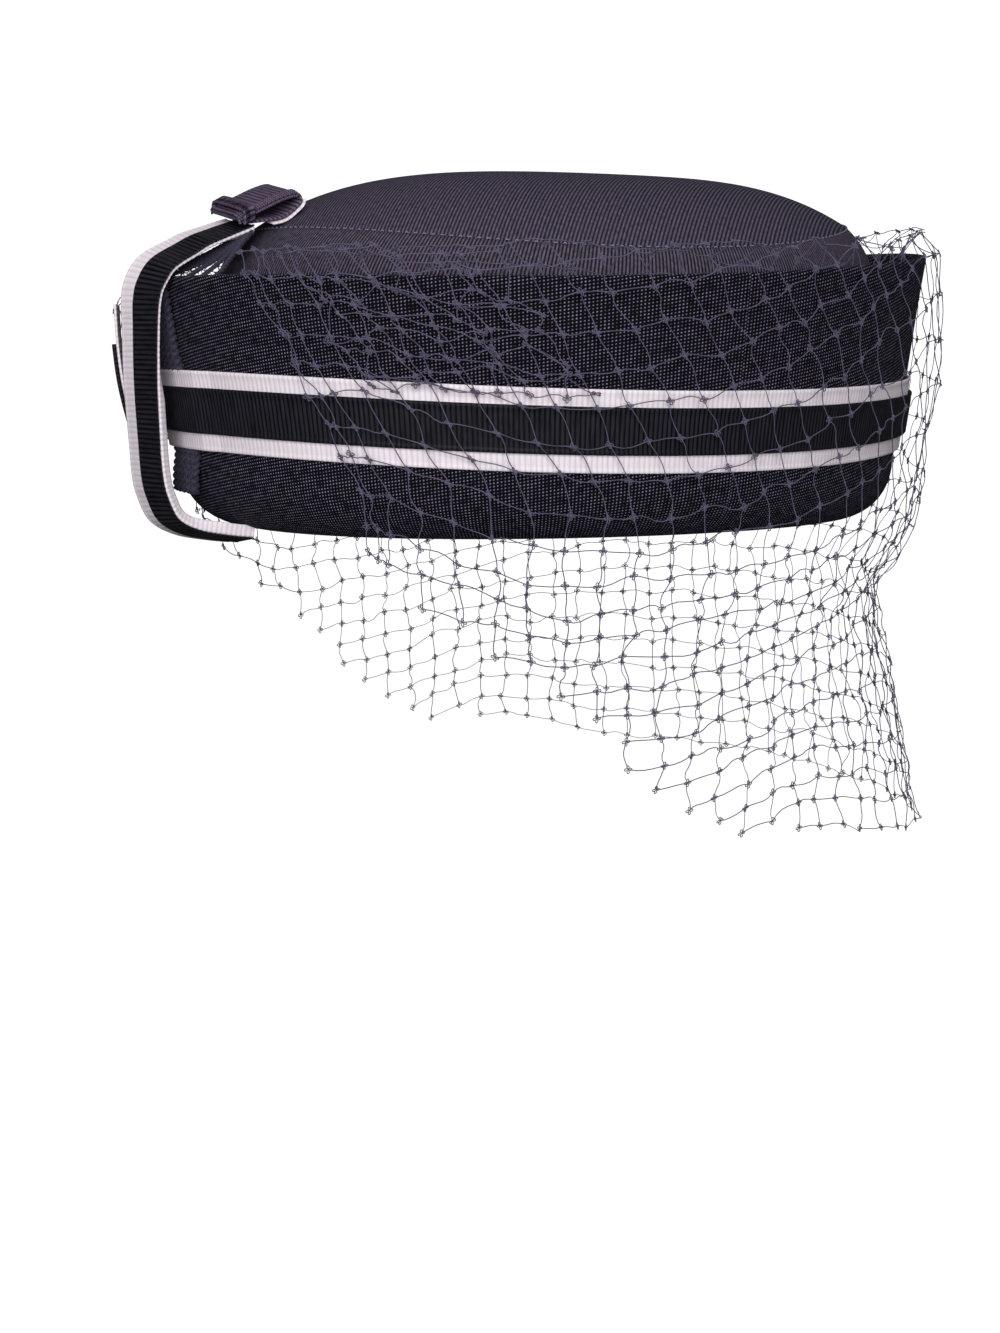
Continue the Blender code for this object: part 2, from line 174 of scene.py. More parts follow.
# Its profile, as (how far inside the wall line, height): under the rim, up the outside, over the edge and
# back down the inside.
ROLL, WALL, FOOT = 14, 2.5, 15.5  # radius of the rolled rim, thickness, and how far in the cloth ends
roll = np.linspace(0, np.pi / 2, 12)[:, None]
face = np.linspace(0, 1, 40)[1:-1, None]
edge = np.linspace(0, np.pi, 9)[:, None]
flat = 0 * angle
parts = [(FOOT + flat, rim), (ROLL - ROLL * np.sin(roll), rim + ROLL - ROLL * np.cos(roll)),
         (0 * face + flat, rim + ROLL + (top - 1.2 - rim - ROLL) * face),
         (WALL / 2 - WALL / 2 * np.cos(edge), top - WALL / 2 + WALL / 2 * np.sin(edge)),
         (WALL + 0 * face + flat, top - 1.2 + (rim + ROLL - top + 1.2) * face),
         (ROLL - (ROLL - WALL) * np.cos(roll), rim + ROLL - (ROLL - WALL) * np.sin(roll)),
         (FOOT + flat, rim + WALL)]
inset = np.concatenate([np.broadcast_to(a + flat, (len(a), ROUND)) for a, b in parts])
height = np.concatenate([np.broadcast_to(b + flat, (len(b), ROUND)) for a, b in parts])
# The cloth is pulled a little unevenly over the buckram.
pull = 0.25 * np.sin(3 * angle + 1) * np.sin(height / 19) + 0.12 * np.sin(11 * angle + height / 9)
points = on_cuff(angle, height, pull * (inset < 12) - inset)
up = run_length(points[:, 0])
uv = np.stack(np.meshgrid(turns * 112, np.append(up, up[-1] + WALL)), -1)
cuff = skin("cuff_cloth", points, uv, cuff_cloth)
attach(cuff, "root")
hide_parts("cuff")

# ---------------------------------------------------------------------------------------------------------
# Crown side: the wall inside the cuff, of the same cloth family but a finer twill, swelling to a soft
# shoulder. Its foot is caught in with the cuff at the rim and its top is sewn to the tip.


CROWN_BACK = 1.9  # how far the crown's middle lies behind the origin
TIP_HALF_WIDTH, TIP_HALF_LENGTH = 84.4, 96


def seam_height(angle):
    return 85.8 + 3.5 * np.sin(angle) - 4.8 * np.cos(2 * angle)


def twill(material, turn, ground, thread):
    """Fine slanting lines on the UV map, about 1 mm apart as the real ones are, lighter along each line as a
    painted highlight.
    """
    place = add(material, "UVMap", {})
    turned = add(material, "Mapping", {"Vector": place, "Rotation": (0, 0, math.radians(turn))})
    lines = add(material, "TexWave", {"Vector": turned, "Scale": math.pi / 10 / 0.001, "Distortion": 0.6,
                                      "Detail": 1, "Detail Scale": 60})
    fibre = add(material, "TexNoise", {"Vector": place, "Scale": 700, "Detail": 3})
    cloth = add(material, "Math", {0: lines.node.outputs["Fac"], 1: fibre}, operation="MULTIPLY")
    # The lighter lines are a painted highlight where the twill catches the light.
    tint(material, add(material, "MapRange", {0: cloth, 1: 0.05, 2: 0.6}), ground, thread)
    raise_threads(material, cloth, 0.15)


# Navy twill with a faint plum cast where it catches the light.
side_cloth = fabric("navy twill cloth", 0.85, 0)
twill(side_cloth, 10, "#151119", "#685e72")

seam = seam_height(angle)
low = on_cuff(angle, rim + 0.1, -15.9)
c, s = np.cos(angle), np.sin(angle)
swell = np.stack([93 * c, CROWN_BACK + 106 * s, seam - 9], -1)
tip_edge = np.stack([TIP_HALF_WIDTH * c, CROWN_BACK + TIP_HALF_LENGTH * s, seam], -1)
inwards = np.stack([-c, -s, 0 * c], -1)
climb = np.linspace(0, 1, 24)[:, None, None]
wall_end = swell - [0, 0, 8]
wall = low + (wall_end - low) * climb + 0.8 * inwards * np.sin(np.pi * climb)
bend = np.linspace(0, 1, 12)[1:, None, None]
corner = swell + (tip_edge - swell) * 0.35 - inwards * 1.6 - [0, 0, 1]
shoulder = (1 - bend) ** 2 * wall_end + 2 * bend * (1 - bend) * corner + bend ** 2 * tip_edge
outer = np.concatenate([wall, shoulder])
points = np.concatenate([outer, outer[::-1] + 2 * inwards - [0, 0, 0.9]])
points[-len(wall):, :, 2] += 0.9
up = run_length(points[:, 0])
uv = np.stack(np.meshgrid(turns * 95, np.append(up, up[-1] + 2)), -1)
crown_side = skin("crown_side_cloth", points, uv, side_cloth)
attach(crown_side, "root")
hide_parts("crown_side")

# ---------------------------------------------------------------------------------------------------------
# Crown tip: the oval top, one piece of the twill over a domed buckram base. It is seamed to the side with a
# row of tiny stitches whose thread shows as light points.


def tip_place(share, angle, drop=0):
    """Points of the tip: share 0 is its middle and 1 its seam."""
    middle = seam_height(np.pi / 4)
    height = middle + (seam_height(angle) - middle) * share ** 2 + 17.5 * (1 - share ** 3.6) - drop
    x = TIP_HALF_WIDTH * share * np.cos(angle)
    y = CROWN_BACK + TIP_HALF_LENGTH * share * np.sin(angle)
    return np.stack([x, y, height], -1)


above, beneath = 60, 20  # rings of points on the cloth's outside and inside, 2 mm apart
share = np.concatenate([np.linspace(0.004, 1, above), np.linspace(1, 0.004, beneath)])[:, None]
drop = np.repeat([0, 2], [above, beneath])[:, None]
points = tip_place(share * 0.9965, angle, drop)
seat = np.concatenate([points, points[:, :1]], 1)
uv = seat[..., :2] + [200, 200]
# The same twill, its lighter lines a painted highlight.
tip_cloth = fabric("navy twill cloth of the tip", 0.85, 0)
twill(tip_cloth, -45, "#1d1824", "#645b70")
tip = skin("crown_tip_cloth", points, uv, tip_cloth)
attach(tip, "root")
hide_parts("crown_tip")


def tubes(name, paths, radius, material, sides=4, closed=False):
    """Threads of one radius in one mesh, from an array of paths x steps x 3."""
    count, steps = paths.shape[:2]
    if closed:
        along = np.roll(paths, -1, 1) - np.roll(paths, 1, 1)
    else:
        along = np.gradient(paths, axis=1)
    along /= np.linalg.norm(along, axis=-1, keepdims=True)
    away = paths * [0.8, 0.8, 0] + [0, 0, 40]
    first = np.cross(along, away)
    first /= np.linalg.norm(first, axis=-1, keepdims=True) + 1e-9
    second = np.cross(along, first)
    turn = np.linspace(0, 2 * np.pi, sides, endpoint=False)[:, None]
    ring = paths[:, :, None] + radius * (first[:, :, None] * np.cos(turn) + second[:, :, None] * np.sin(turn))
    k, j, q = np.mgrid[0:count, 0:steps if closed else steps - 1, 0:sides]
    corners = [(j, q), (j, q + 1), (j + 1, q + 1), (j + 1, q)]
    faces = np.stack([(k * steps + a % steps) * sides + b % sides for a, b in corners], -1).reshape(-1, 4)
    mesh = bpy.data.meshes.new(name)
    mesh.from_pydata((ring.reshape(-1, 3) / 1000).tolist(), [], faces.tolist())
    marks = np.stack([np.stack([a + 0.0, b + 0.0], -1) for a, b in corners], -2) / 1000
    mesh.uv_layers.new(name="UVMap").data.foreach_set("uv", marks.ravel())
    mesh.shade_smooth()
    mesh.materials.append(material)
    thing = bpy.data.objects.new(name, mesh)
    bpy.context.scene.collection.objects.link(thing)
    return thing


# Pale blue-grey sewing thread, a little glossy.
sewing = fabric("sewing thread", 0.5, 0)
grain = add(sewing, "TexNoise", {"Vector": add(sewing, "UVMap", {}), "Scale": 900})
tint(sewing, grain, "#6f6a85", "#9d97b0")

stitch_count = 230
stitch_angle = np.linspace(0, 2 * np.pi, stitch_count, endpoint=False)[:, None] + np.linspace(0, 0.010, 4)
stitches = tip_place(1.002, stitch_angle) + [0, 0, 0.12]
stitches[:, :, 2] += 0.25 * np.sin(np.linspace(0, np.pi, 4))
seam_stitches = tubes("tip_seam_stitches", stitches, 0.16, sewing)
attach(seam_stitches, "root")

# ---------------------------------------------------------------------------------------------------------
# Hat band: a white grosgrain ribbon, 22.2 mm wide, with a navy one, 12.7 mm wide, stitched over it. Both run
# round the cuff below its middle and pass over the braid at the front.


def even(points, step):
    """The same line with its points at even steps."""
    at = run_length(points)
    wanted = np.linspace(0, at[-1], max(2, int(round(at[-1] / step))))
    return np.stack([np.interp(wanted, at, points[:, k]) for k in range(3)], -1)


def grosgrain(name, low, high, lift, thick, pitch, depth, material, closed=False, fold=None):
    """A ribbed ribbon between two edge lines, lifted along its face, with a flat selvage at each edge.

    Its ribs stand pitch apart and are depth deep. fold says, for each point, how far the margin at the high
    edge curls back, in radians. A ribbon that isn't closed gets a face at each end.
    """
    middle = (low + high) / 2
    along = np.roll(middle, -1, 0) - np.roll(middle, 1, 0) if closed else np.gradient(middle, axis=0)
    width = np.linalg.norm((high - low)[len(low) // 2])
    side = (high - low) / width
    face = np.cross(along, side)
    face /= np.linalg.norm(face, axis=1, keepdims=True)
    steps = run_length(np.concatenate([middle, middle[:1]]) if closed else middle)
    fold = np.zeros(len(low)) if fold is None else fold
    groove = depth * (1 - np.abs(np.sin(np.pi * steps[:len(low)] / pitch)) ** 0.7)
    # The front of the profile, as (place across, fullness, share of the groove).
    front = [(0, 0, 0), (0.1, 0.6, 0), (0.4, 1, 0), (1.1, 1, 0), (1.3, 0.8, 0.3), (1.7, 1, 1),
             (width / 2, 1, 1), (width - 3.4, 1, 1), (width - 3.1, 1, 1), (width - 2.8, 1, 1),
             (width - 1.3, 0.8, 0.3), (width - 1.1, 1, 0), (width - 0.4, 1, 0), (width - 0.1, 0.6, 0),
             (width, 0, 0)]
    bends = np.interp([at - width for at, full, share in front], (-3.4, -2.8, 0), (0, 1, 0.85))
    reach, sink = [np.zeros(len(low))], [np.zeros(len(low))]
    for k in range(1, len(front)):
        step = front[k][0] - front[k - 1][0]
        turn = fold * (bends[k] + bends[k - 1]) / 2
        reach.append(reach[-1] + step * np.cos(turn))
        sink.append(sink[-1] + step * np.sin(turn))
    # Its back lies under four of those places.
    profile = [(k, thick / 2 * full - groove * share) for k, (at, full, share) in enumerate(front)]
    profile += [(k, -thick / 2) for k in (12, 7, 6, 2)]
    lines = []
    for k, rise in profile:
        turn = fold * bends[k]
        lines.append(low + side * (reach[k] + np.sin(turn) * rise)[:, None]
                     + face * (lift - sink[k] + np.cos(turn) * rise)[:, None])
    marks = [at for at, full, share in front] + [width + k * width / 4 for k in range(1, 6)]
    ribbon = skin(name, np.stack(lines), np.stack(np.meshgrid(steps, marks), -1), material)
    if not closed:
        work = bmesh.new()
        work.from_mesh(ribbon.data)
        bmesh.ops.holes_fill(work, edges=[edge for edge in work.edges if edge.is_boundary], sides=0)
        work.to_mesh(ribbon.data)
        work.free()
    return ribbon


def ribbon_cloth(name, pitch, ground, light, roughness, gloss):
    """Ribbed silk-like ribbon: painted shade between the ribs and painted highlight on their tops, with faint
    streaks along each one.
    """
    material = fabric(name, roughness, 0)
    material.node_tree.nodes["Principled BSDF"].inputs["Specular IOR Level"].default_value = gloss
    place = add(material, "UVMap", {})
    streak = add(material, "Mapping", {"Vector": place, "Scale": (1500, 160, 1)})
    grain = add(material, "TexNoise", {"Vector": streak, "Scale": 1, "Detail": 2})
    along = add(material, "SeparateXYZ", {0: place})
    turn = add(material, "Math", {0: along, 1: math.pi * 1000 / pitch}, operation="MULTIPLY")
    wave = add(material, "Math", {0: turn}, operation="SINE")
    ribs = add(material, "Math", {0: wave}, operation="ABSOLUTE")
    uneven = add(material, "Math", {0: ribs, 1: grain}, operation="MULTIPLY")
    # Painted highlight on each rib's top and painted shade in the grooves between.
    tint(material, add(material, "MapRange", {0: uneven, 1: 0.05, 2: 0.5}), ground, light)
    return material


# White with a pink cast, with soft grey painted shade between its ribs; navy so dark that only the ribs' tops
# catch the light, as a painted highlight; and the bow's own navy, whose ribs carry a painted plum highlight.
white_ribbon = ribbon_cloth("white grosgrain", 1.5, "#ddd2db", "#f6ecf4", 0.65, 0.15)
navy_ribbon = ribbon_cloth("navy grosgrain", 1.35, "#010103", "#28282f", 0.5, 0.08)
bow_ribbon = ribbon_cloth("bow grosgrain, its ribs shining plum", 1.35, "#1e1823", "#6a5c74", 0.55, 0.1)


def band_top(angle):
    return 44.9 - 1.05 * np.sin(angle) - 2.05 * np.cos(2 * angle)


def band_edges(margin, width, stand, columns):
    """The low and high edges of a ribbon round the cuff, margin below the band's top."""
    angle = np.linspace(0, 2 * np.pi, columns, endpoint=False)
    over_braid = np.clip((13 - np.abs(np.degrees(angle) - 268.2)) / 4, 0, 1)
    stand = stand + 1.3 * over_braid
    return [on_cuff(angle, band_top(angle) - down, stand) for down in (margin + width, margin)]


for name, node, slot, material, margin, width, stand, pitch, depth in (
        ("band_white", "band_white_ribbon", "white_grosgrain", white_ribbon, 0, 22.2, 0.8, 1.5, 0.12),
        ("band_navy", "band_navy_ribbon", "navy_grosgrain", navy_ribbon, 4.6, 12.7, 2.1, 1.35, 0.3)):
    low, high = band_edges(margin, width, stand, 2800)
    band = grosgrain(name, low, high, 0, 0.8, pitch, depth, material, closed=True)
    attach(band, "root")
    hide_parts(node)

# ---------------------------------------------------------------------------------------------------------
# Front braid: cords plaited from three navy strands, laid side by side up the front of the cuff and over its
# edge to the bow, under the ribbon strip.


def plait(line, face, width, depth, length):
    """Three strands plaited round a line, crossing every third of length."""
    along = np.gradient(line, axis=0)
    side = np.cross(along, np.broadcast_to(face, line.shape))
    side /= np.linalg.norm(side, axis=1, keepdims=True)
    turn = 2 * np.pi * run_length(line)[:, None] / length
    strands = []
    for k in range(3):
        phase = turn + 2 * np.pi * k / 3
        strands.append(line + side * width / 2 * np.sin(phase) + face * depth * np.sin(2 * phase))
    return strands


def smooth(points, steps, closed=False):
    """Points along a curve that passes through the given ones."""
    given = np.array(points, float)
    count = len(given)
    route = []
    for k in range(count if closed else count - 1):
        near = [(k + j) % count if closed else min(max(k + j, 0), count - 1) for j in (-1, 0, 1, 2)]
        a, b, c, d = given[near]
        t = np.arange(steps)[:, None] / steps
        route.append(0.5 * (2 * b + (c - a) * t + (2 * a - 5 * b + 4 * c - d) * t ** 2
                            + (3 * b - a - 3 * c + d) * t ** 3))
    return np.concatenate(route if closed else route + [given[-1:]])


# Navy rayon cord with a soft lilac shine.
cord = fabric("navy rayon cord", 0.5, 0.1)
fibre = add(cord, "TexNoise", {"Vector": add(cord, "UVMap", {}), "Scale": 600, "Detail": 2})
tint(cord, fibre, "#0e0c19", "#454058")

# Up the wall five plaits lie flat side by side, close to it under the band and further off below and above.
edge_x = (-11, 4.2)  # of the first plait and the last one
climb = np.linspace(13.5, 73.4, 60)
stand = np.interp(climb, (13.5, 19, 24, 47, 52, 70, 73.4), (3.8, 2.8, 1.2, 1.2, 2, 2, 1.4))
wall_plaits = []
for x in edge_x[0] + (edge_x[1] - edge_x[0]) * np.linspace(0, 1, 5):
    spot = 1.5 * np.pi + np.arcsin(x / (HALF_WIDTH - WIDTH_TAPER * (EDGE_HEIGHT - climb)))
    line = on_cuff(spot, climb, stand)
    line[:, 0] = x
    wall_plaits += plait(even(line, 0.4), np.array([0, -1, 0]), 2.2, 0.5, 6)

# Over the cuff's edge six slimmer ones go on, sag across the groove and draw together at the bow. Each sag is
# (y, z) at the first plait and at the last one.
foot_x, knot_x = (-6, 14.5), (7.5, 10)
sags = (((-124.6, 75), (-117, 72)), ((-121.5, 76.2), (-113.5, 74.6)), ((-115, 78.2), (-110.5, 77.6)),
        ((-108, 82.2), (-106.5, 81.6)), ((-102.5, 86.6), (-102, 85.8)))
groove_plaits = []
for share in np.linspace(0, 1, 6):
    start, foot, knot = (low + (high - low) * share for low, high in (edge_x, foot_x, knot_x))
    points = []
    for k, (first, last) in enumerate(sags):
        x = np.interp(k, (0, 1.2, 4), (foot if share > 0.5 else start, foot, knot))
        points.append((x, *(a + (b - a) * share for a, b in zip(first, last))))
    groove_plaits += plait(even(smooth(points, 10), 0.3), np.array([0, -0.5, 0.85]), 0.8, 0.3, 3.6)
for name, group, radius in (("front_braid_cords", wall_plaits, 0.72),
                            ("front_braid_gathers", groove_plaits, 0.42)):
    steps = min(len(strand) for strand in group)
    paths = np.array([strand[np.linspace(0, len(strand) - 1, steps).astype(int)] for strand in group])
    braid = tubes(name, paths, radius, cord, sides=6)
    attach(braid, "root")
    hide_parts("front_braid")

# ---------------------------------------------------------------------------------------------------------
# Front strip: the same two ribbons again, running from under the bow over the cuff's edge, down the front and
# under the rim, where they are tacked inside. The strip faces a little towards the wearer's left.


def turned_edges(line, turn, width):
    """The edges of a ribbon whose line lies in the YZ plane, turned about that line towards +X."""
    along = np.gradient(line, axis=0)
    inwards = np.cross([1, 0, 0], along)
    inwards /= np.linalg.norm(inwards, axis=1, keepdims=True)
    side = np.cos(turn) * [1, 0, 0] + inwards * np.sin(turn)
    return line - side * width / 2, line + side * width / 2


strip_route = [(2.2, y, z) for y, z in (
    (-101.6, 88.1), (-106.4, 86.4), (-110.5, 84.9), (-115, 83.2), (-119.4, 80.8), (-126.3, 76.7),
    (-129.9, 71.5), (-131.2, 66.8), (-131.6, 60), (-132, 45), (-131.6, 30), (-131, 18.5), (-129.6, 12.3),
    (-126.5, 6.2), (-120, 2.6), (-111, 0.6), (-104, -0.4))]
strip_line = even(smooth(strip_route, 12), 0.25)
way = run_length(strip_line)
# How far it is turned, and how far its near white margin curls back, at distances from the bow, in degrees.
strip_turn = np.radians(np.interp(way, (0, 21, 31, 45, 80, 110), (10, 15, 17, 12, 8, 10)))
curl = np.radians(np.interp(way, (0, 10, 52, 66, 90, 105, 115), (150, 175, 175, 135, 130, 130, 90)))
for name, node, slot, material, width, lift, shift, pitch, depth in (
        ("front_white", "front_white_ribbon", "white_grosgrain", white_ribbon, 22.2, 0.2, 0, 1.5, 0.12),
        ("front_navy", "front_navy_ribbon", "navy_grosgrain", navy_ribbon, 12.7, 0.8, 2.1, 1.5, 0.32)):
    low, high = turned_edges(strip_line, strip_turn[:, None], width)
    across = (high - low) / width * shift
    fold = curl if node == "front_white_ribbon" else None
    strip = grosgrain(name, low + across, high + across, lift, 0.5, pitch, depth, material, fold=fold)
    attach(strip, "root")
    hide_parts(node)

# ---------------------------------------------------------------------------------------------------------
# Bow: a flat loop of navy ribbon laid lengthways on the crown's front edge and leaning to the wearer's left,
# backed with white under its far end, and a short hemmed piece wrapped across its front end.

bow_route = [(0, y, z) for y, z in ((-103.6, 90), (-98, 90.7), (-92.4, 91.8), (-88.4, 94.6), (-86.8, 96.6),
                                    (-88.2, 98.4), (-92.5, 97.3), (-98, 94.8), (-103, 92.4), (-105.9, 90.9))]
loop = smooth(bow_route, 24, closed=True)
lean = math.radians(10)
side = np.array([math.cos(lean), 0, -math.sin(lean)])
up = np.array([math.sin(lean), 0, math.cos(lean)])
half = side * 10.5
line = even(np.concatenate([loop, loop[:1]]), 0.3)[:-1]
bow = grosgrain("bow_loop_ribbon", line - half, line + half, 0, 0.8, 1.35, 0.25, bow_ribbon, closed=True)
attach(bow, "root")
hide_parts("bow_loop")
line = even(loop[34:100], 0.3)
backing = grosgrain("bow_backing", line - half, line + half, 1.15, 0.8, 1.5, 0.12, white_ribbon)
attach(backing, "root")
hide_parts("bow_white_ribbon")

# The near margin is turned under in steps, so that its selvages show as ridges along the loop.
upper = even(loop[120:228], 0.5)
across_margin = ((7.6, 0.5), (8.9, 0.45), (10.1, 0.2), (10.7, -0.7))
ridges = np.array([upper + side * reach + up * rise for reach, rise in across_margin])
selvages = tubes("bow_selvages", ridges, 0.42, bow_ribbon, sides=6)
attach(selvages, "root")

around_loop = ((12.2, -1.8), (12, 0.4), (10.8, 1.7), (4, 2), (-4, 2), (-10.8, 1.7), (-12, 0.4), (-12.2, -1.8))
wrap_route = [np.array([0, -103.4, 92.1]) + side * x + up * z for x, z in around_loop]
line = even(smooth(wrap_route, 10), 0.3)
slope = math.radians(28)
half = np.array([0, math.cos(slope), math.sin(slope)]) * 2
wrap = grosgrain("bow_wrap_hem", line - half, line + half, 0, 0.8, 1.35, 0.25, bow_ribbon)
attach(wrap, "root")
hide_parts("bow_wrap")

# ---------------------------------------------------------------------------------------------------------
# Ribbon tail: the free end of the trim on the wearer's right of the strip, a navy layer over a longer white
# one, hanging edge-on to the front.

tail_line = even(smooth([(-19.6, -133, 66), (-19.8, -132.6, 55), (-20, -131.4, 44), (-20.2, -129.2, 34),
                         (-20.4, -126.8, 26)], 12), 0.25)
half = np.array([-0.93, 0.37, 0]) / math.hypot(0.93, 0.37) * 9
for name, node, slot, material, line, lift, pitch, depth in (
        ("tail_navy", "tail_navy_ribbon", "navy_grosgrain", navy_ribbon, tail_line[44:], 0, 1.35, 0.25),
        ("tail_white", "tail_white_ribbon", "white_grosgrain", white_ribbon, tail_line, 1.2, 1.5, 0.12)):
    tail = grosgrain(name, line - half, line + half, lift, 0.8, pitch, depth, material)
    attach(tail, "root")
    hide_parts(node)

# ---------------------------------------------------------------------------------------------------------
# Veil: one strip of knotted navy net, tucked with its upper rows into the groove, puffed over the cuff's edge
# and hanging loose to the neck at the back. It is open at the front, and each knot is a tiny loop with four
# corners.

# Heights of six of the rows at angles from the front end to the back, in degrees. Rows sag below the brow,
# climb towards the back and crowd together at the nape. A height above the cuff's edge is a way along the
# header.
rows = 25
row_keys = (4, 7, 10, 12, 16, 24)
row_heights = {-51: (72, 50, 26, 8, -20, -76), -35: (65, 42, 17, -4, -33, -93),
               -25: (67, 38, 10, -9, -39, -99), -5: (73, 42.5, 11, -6, -35.5, -97),
               5: (80, 50, 14.5, -4.5, -31.5, -90), 15: (90, 58.5, 22, -1, -27.5, -83.5),
               24: (102, 70, 30, 4, -24.5, -88), 40: (115, 82, 42, 14, -19, -97),
               90: (112, 82, 46, 20, -19, -101)}
# Where the front ends are cut off slantwise and the hem begins: angle and height.
cut = np.array([(-52, 0), (-43, -13), (-34, -28), (-27, -40), (-19, -53), (-14, -65), (-7, -76), (3, -83),
                (15, -89), (28, -95), (40, -100), (90, -104)])
# The first columns run close together beside the brow.
columns = np.concatenate([[-51.5, -50, -48, -43.5], np.linspace(-38.7, 90, 28)])
# The header past the cuff's edge: (way along it, how far outside the wall line, how far above the edge).
header = np.array([(0, 4, 0), (6, 2, 6), (11, -2, 8), (15, -5.4, 5.6), (21, -6.6, 0), (30, -6, -9)])
# How far the net stands outside the wall line at distances down from the edge: at the back, at the sides, and
# what the swung corner on the wearer's right adds.
stand_back = np.array([(0, 4), (20, 9), (45, 9.5), (75, 9), (92, 3), (102, -5), (114, -2), (150, 5),
                       (175, 12)])
stand_side = np.array([(0, 4), (30, 5), (75, 4), (100, 0), (175, -2)])
far_corner = np.array([(0, 0), (8, 8), (24, 9), (45, 5), (70, 0)])


def net_place(angle, height, far):
    """Where a knot lies, its height counted along the net from the cuff's edge, and if it is on the net."""
    top = cuff_top(angle)
    past = np.maximum(height - top, 0)
    down = np.maximum(top - height, 0)
    share = (np.pi / 2 - angle) / (np.pi / 2 + math.radians(60))
    sideways = np.clip((share - 0.3) / 0.3, 0, 1)
    stand = (1 - sideways) * np.interp(down, *stand_back.T) + sideways * np.interp(down, *stand_side.T)
    if far:
        stand = stand + np.interp(down, *far_corner.T) * np.clip((share - 0.8) / 0.15, 0, 1)
    stand = np.where(past > 0, np.interp(past, header[:, 0], header[:, 1]), stand)
    lift = np.interp(past, header[:, 0], header[:, 2])
    there = (past < 31) & (height > np.interp(np.degrees(angle), *cut.T))
    return on_cuff(np.pi - angle if far else angle, np.minimum(height, top) + lift, stand, 18), there


def row_height(level, angle):
    """Heights of the rows at these levels and angles, between the rows whose heights are given."""
    given = [np.interp(angle, list(row_heights), heights) for heights in zip(*row_heights.values())]
    height = given[0] + 8 * (row_keys[0] - level)
    for k in range(len(row_keys) - 1):
        share = (level - row_keys[k]) / (row_keys[k + 1] - row_keys[k])
        height = np.where(share >= 0, given[k] + (given[k + 1] - given[k]) * share, height)
    return height


chance = np.random.default_rng(11)
level = np.arange(rows)[:, None] + 0 * columns
angle = base = columns + 0.0 * level
for _ in range(4):  # the lean of the columns depends on the height that they reach there
    height = row_height(level, angle)
    lean = 0.25 * (np.clip(height, 15, 85) - 15) * np.clip((90 - base) / 40, 0, 1)
    angle = base - lean
near_place, near_on = net_place(np.radians(angle), height, False)
far_place, far_on = net_place(np.radians(angle), height, True)
# The far half runs on from the middle of the back, whose column both halves have.
net = np.concatenate([near_place, far_place[:, -2::-1]], 1)
there = np.concatenate([near_on, far_on[:, -2::-1]], 1)
for _ in range(6):  # a knot that fewer than two threads would hold is cut away
    held = np.zeros(there.shape, int)
    held[1:] += there[:-1]
    held[:-1] += there[1:]
    held[:, 1:] += there[:, :-1]
    held[:, :-1] += there[:, 1:]
    there &= held > 1
net += chance.normal(0, 0.7, net.shape)

# A loose fold of the same net lies over the front end on each side, with smaller slanting cells.
row, column = np.mgrid[0:8, 0:9]
folds = []
for far in (False, True):
    height = 78 - 5 * row + chance.normal(0, 1.2, row.shape)
    angle = np.radians(-61 + 3.4 * column + 1.7 * row + chance.normal(0, 0.8, row.shape))
    place = net_place(angle, height, far)[0]
    folds.append(place + chance.normal(0, 0.9, place.shape))

# Thread paths from knot to knot, each a little slack.
starts, ends, middles, acrosses, downs = [], [], [], [], []
for grid, kept in [(net, there)] + [(fold, np.ones(fold.shape[:2], bool)) for fold in folds]:
    down, across = kept[:-1] & kept[1:], kept[:, :-1] & kept[:, 1:]
    starts += [grid[:-1][down], grid[:, :-1][across]]
    ends += [grid[1:][down], grid[:, 1:][across]]
    middles.append(grid[kept])
    acrosses.append(np.gradient(grid, axis=1)[kept])
    downs.append(np.gradient(grid, axis=0)[kept])
starts, ends = np.concatenate(starts)[:, None], np.concatenate(ends)[:, None]
t = np.linspace(0, 1, 6)[None, :, None]
slack = chance.normal(0, 0.5, (len(starts), 1, 3))
ripple = chance.normal(0, 0.25, (len(starts), 1, 3))
threads = starts * (1 - t) + ends * t + slack * np.sin(np.pi * t) + ripple * np.sin(2 * np.pi * t)

# Navy net thread with a violet cast; its twist catches light.
net_thread = fabric("navy net thread", 0.5, 0.1)
fibre = add(net_thread, "TexNoise", {"Vector": add(net_thread, "UVMap", {}), "Scale": 500})
tint(net_thread, fibre, "#2a2639", "#77708d")
veil = tubes("veil_threads", threads, 0.145, net_thread)
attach(veil, "root")
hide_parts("veil")

middles, across, downs = np.concatenate(middles), np.concatenate(acrosses), np.concatenate(downs)
across /= np.linalg.norm(across, axis=-1, keepdims=True) + 1e-9
downs /= np.linalg.norm(downs, axis=-1, keepdims=True) + 1e-9
turn = np.linspace(0, 2 * np.pi, 24, endpoint=False)
reach = 0.15 + np.abs(np.cos(2 * turn)) ** 0.8
rings = (middles[:, None] + across[:, None] * (reach * np.cos(turn))[:, None]
         + downs[:, None] * (reach * np.sin(turn))[:, None])
for k, part in enumerate(np.array_split(rings, 2)):
    knots = tubes(f"veil_knots_{k + 1}", part, 0.17, net_thread, sides=3, closed=True)
    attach(knots, "root")

# ---------------------------------------------------------------------------------------------------------
# Studio: a pale floor well below the hat that curves up behind it, a broad soft light beside the camera and
# another overhead.

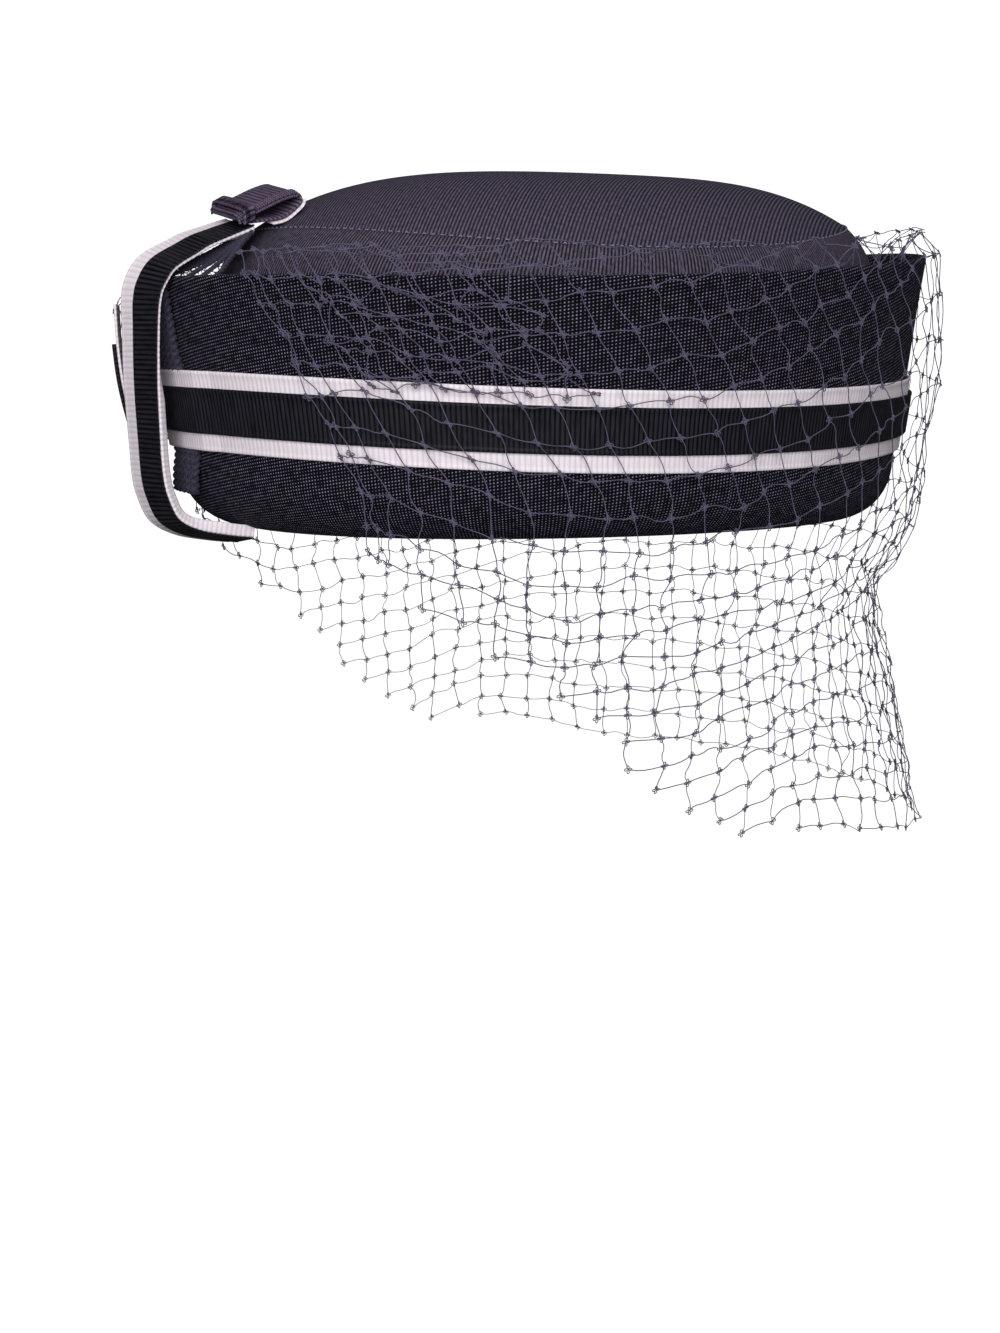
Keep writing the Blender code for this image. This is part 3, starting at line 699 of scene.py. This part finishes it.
FLOOR, CURVE_START, CURVE = -330, 1400, 900
sweep = [(y, FLOOR) for y in np.linspace(-3000, CURVE_START, 12)]
sweep += [(CURVE_START + CURVE * math.sin(a), FLOOR + CURVE * (1 - math.cos(a)))
          for a in np.linspace(0.1, math.pi / 2, 12)]
sweep += [(CURVE_START + CURVE, 4500)]
view = math.radians(58)  # the way that the camera looks across the floor
ways = np.array([[-math.sin(view), math.cos(view)], [math.cos(view), math.sin(view)]])
points = np.array([[[*(ways[0] * y + ways[1] * x), z] for x in (-4500, 4500)] for y, z in sweep])
paper = fabric("white studio paper", 0.9, 0)
mottle = add(paper, "TexNoise", {"Vector": add(paper, "UVMap", {}), "Scale": 3})
tint(paper, mottle, "#f4f3f4", "#f8f7f8")
shader = paper.node_tree.nodes["Principled BSDF"]
# The paper glows evenly: painted light standing in for lamps on the backdrop.
shader.inputs["Emission Color"].default_value = (1, 1, 1, 1)
shader.inputs["Emission Strength"].default_value = 0.8
backdrop = skin("backdrop", points, points[..., :2] * 0.1, paper)
backdrop.visible_diffuse = False  # its brightness stays off the hat, which only the lamps light
backdrop.visible_glossy = False

world = bpy.data.worlds.new("studio")
bpy.context.scene.world = world
world.use_nodes = True
world.node_tree.nodes["Background"].inputs[0].default_value = (1, 1, 1, 1)
world.node_tree.nodes["Background"].inputs[1].default_value = 0.06


def softbox(name, place, aim, size, power):
    light = bpy.data.lights.new(name, "AREA")
    light.size = size
    light.energy = power
    lamp = bpy.data.objects.new(name, light)
    lamp.location = place
    lamp.rotation_euler = (Vector(aim) - Vector(place)).to_track_quat("-Z", "Y").to_euler()
    bpy.context.scene.collection.objects.link(lamp)


softbox("key", (1.5, -0.94, 0.4), (0, 0, 0.03), 1.1, 33)
softbox("overhead", (0.1, -0.1, 2.2), (0, 0, 0), 2.0, 15)

camera = bpy.data.objects.new("camera", bpy.data.cameras.new("camera"))
camera.data.lens = 47.78
camera.location = (0.4806, -0.3004, 0.0579)
camera.rotation_euler = (Vector((0, -0.0159, -0.0472)) - camera.location).to_track_quat("-Z", "Y").to_euler()
bpy.context.scene.collection.objects.link(camera)
bpy.context.scene.camera = camera
bpy.context.scene.view_settings.view_transform = "Standard"
